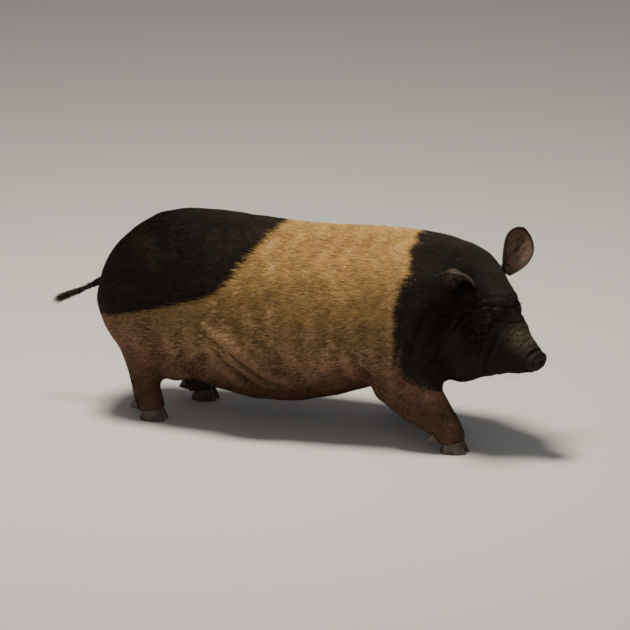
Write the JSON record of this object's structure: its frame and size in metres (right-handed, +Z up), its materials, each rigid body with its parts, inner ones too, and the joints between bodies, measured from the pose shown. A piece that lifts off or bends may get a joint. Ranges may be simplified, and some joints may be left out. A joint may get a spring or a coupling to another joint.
{
  "type": "pot bellied pig",
  "caption": "Life-size still model of a pot bellied pig walking with its head turned to its right, black head and rump, cream middle.",
  "frame": {"origin": "on the floor, below the middle of the whole animal from the tail's tip to the nose", "axes": "+X the way the animal walks, +Y its left side, +Z up"},
  "size_m": [0.8798, 0.2704, 0.3596],
  "materials": {
    "black_hide": "black skin under short black bristles",
    "cream_hide": "pale skin under short cream bristles",
    "pink_skin": "nearly bare dusty pink skin",
    "horn": "dull dark horn",
    "eye": "wet dark brown eye"
  },
  "bodies": {
    "root": {"torso": "cream_hide", "neck": "black_hide", "head": "black_hide", "snout": "black_hide", "ear_left": "black_hide", "ear_right": "black_hide", "eye_left": "eye", "eye_right": "eye", "tail": "black_hide", "leg_front_left": "pink_skin", "leg_front_right": "pink_skin", "leg_hind_left": "pink_skin", "leg_hind_right": "pink_skin", "claw_front_left_inner": "horn", "claw_front_left_outer": "horn", "claw_front_right_inner": "horn", "claw_front_right_outer": "horn", "claw_hind_left_inner": "horn", "claw_hind_left_outer": "horn", "claw_hind_right_inner": "horn", "claw_hind_right_outer": "horn", "dewclaw_front_left_inner": "horn", "dewclaw_front_left_outer": "horn", "dewclaw_front_right_inner": "horn", "dewclaw_front_right_outer": "horn", "dewclaw_hind_left_inner": "horn", "dewclaw_hind_left_outer": "horn", "dewclaw_hind_right_inner": "horn", "dewclaw_hind_right_outer": "horn"}
  },
  "joints": []
}
